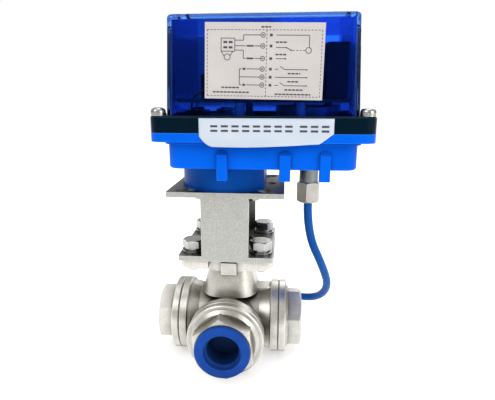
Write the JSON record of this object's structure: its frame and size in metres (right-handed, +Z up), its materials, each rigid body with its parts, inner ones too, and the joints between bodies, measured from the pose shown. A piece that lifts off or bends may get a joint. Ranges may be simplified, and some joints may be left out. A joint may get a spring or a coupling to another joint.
{
  "type": "motorized three-way ball valve",
  "caption": "Small electric actuator with a translucent cover, bracketed to a T-bored ball valve with threaded ports and a trailing supply cable.",
  "frame": {"origin": "middle of the footprint of the valve and actuator, cable left out, on the surface they stand on", "axes": "+Z up along the stem, +X along the straight flow path towards the gland side, -Y out of the branch port"},
  "size_m": [0.1094, 0.1218, 0.179],
  "materials": {
    "cast_stainless": "bead-blasted investment casting",
    "sheet_stainless": "rolled stainless sheet, fine grain",
    "turned_stainless": "turned",
    "bright_fasteners": "bright plated",
    "white_ptfe": "waxy",
    "blue_polyethylene": "satin moulding",
    "azure_plastic": "satin moulding",
    "clear_blue_cover": "translucent polycarbonate",
    "black_plastic": "satin moulding",
    "black_rubber": "matt",
    "printed_paper": "printed film",
    "bronze": "sintered",
    "gear_steel": "ground",
    "gear_nylon": "moulded",
    "brass": "hobbed",
    "zinc_can": "plated can",
    "nickel_plate": "satin nickel",
    "blue_pvc": "smooth sheath",
    "white_nylon": "moulded",
    "core_insulation": "five colours",
    "green_board": "solder mask",
    "green_terminals": "moulded",
    "dark_components": "moulded"
  },
  "bodies": {
    "housing": {"actuator_base": "azure_plastic", "actuator_cover": "clear_blue_cover", "ball_seats": "white_ptfe", "board_parts": "dark_components", "board_posts": "white_nylon", "board_screws": "bright_fasteners", "bracket_screws": "bright_fasteners", "cable_coil": "blue_pvc", "cable_cores": "core_insulation", "cable_lead": "blue_pvc", "cable_tie": "white_nylon", "cap_gaskets": "white_ptfe", "capacitor": "dark_components", "circuit_board": "green_board", "cover_frame": "black_plastic", "cover_gasket": "black_rubber", "cover_screws": "bright_fasteners", "front_end_cap": "cast_stainless", "gear_motor": "zinc_can", "gear_plate": "gear_steel", "gland_body": "nickel_plate", "gland_locknut": "nickel_plate", "gland_nut": "nickel_plate", "gland_seal": "black_rubber", "idler_axle": "gear_steel", "inner_lead": "blue_pvc", "left_end_cap": "cast_stainless", "limit_switches": "black_plastic", "mounting_bracket": "sheet_stainless", "note_sticker": "printed_paper", "packing_gland": "turned_stainless", "pad_bolts": "bright_fasteners", "pad_washers": "bright_fasteners", "plate_pillars": "gear_steel", "plate_screws": "bright_fasteners", "right_end_cap": "cast_stainless", "shaft_bushes": "bronze", "shaft_seal": "black_rubber", "stem_packing": "white_ptfe", "terminal_block": "green_terminals", "thrust_washer": "white_ptfe", "valve_body": "cast_stainless", "wiring_label": "printed_paper"},
    "drive": {"valve_ball": "turned_stainless", "valve_stem": "turned_stainless", "disc_springs": "turned_stainless", "stem_nut": "turned_stainless", "drive_coupling": "turned_stainless", "coupling_screw": "bright_fasteners", "output_shaft": "gear_steel", "output_gear": "gear_nylon", "shut_cam": "gear_nylon", "open_cam": "gear_nylon", "shaft_clip": "bright_fasteners"},
    "idler": {"idler_gear": "gear_nylon"},
    "motor_rotor": {"motor_pinion": "brass", "motor_shaft": "gear_steel"},
    "port_plug": {"front_port_plug": "blue_polyethylene"},
    "shut_switch_plunger": {"shut_plunger": "white_nylon"},
    "open_switch_plunger": {"open_plunger": "white_nylon"}
  },
  "joints": [
    {"name": "output_turn", "type": "hinge", "parent": "housing", "child": "drive", "pos_m": [-0.01465, 0.0023, 0.0802], "axis": [0, 0, 1], "range_deg": [0, 90]},
    {"name": "idler_turn", "type": "hinge", "parent": "housing", "child": "idler", "pos_m": [0.00615, 0.0023, 0.1182], "axis": [0, 0, 1], "range_deg": [-300, 0]},
    {"name": "motor_turn", "type": "hinge", "parent": "housing", "child": "motor_rotor", "pos_m": [0.02535, 0.0023, 0.1202], "axis": [0, 0, 1], "range_deg": [0, 900]},
    {"name": "plug_pull", "type": "slide", "parent": "housing", "child": "port_plug", "axis": [0, -1, 0], "range_m": [0, 0.025]},
    {"name": "shut_press", "type": "slide", "parent": "housing", "child": "shut_switch_plunger", "axis": [-1, 0, 0], "range_m": [0, 0.0008], "stiffness_N_per_m": 150},
    {"name": "open_press", "type": "slide", "parent": "housing", "child": "open_switch_plunger", "axis": [-1, 0, 0], "range_m": [0, 0.0008], "stiffness_N_per_m": 150}
  ],
  "couplings": [
    {"joint": "idler_turn", "follows": "output_turn", "ratio": -3.3333},
    {"joint": "motor_turn", "follows": "output_turn", "ratio": 10}
  ]
}
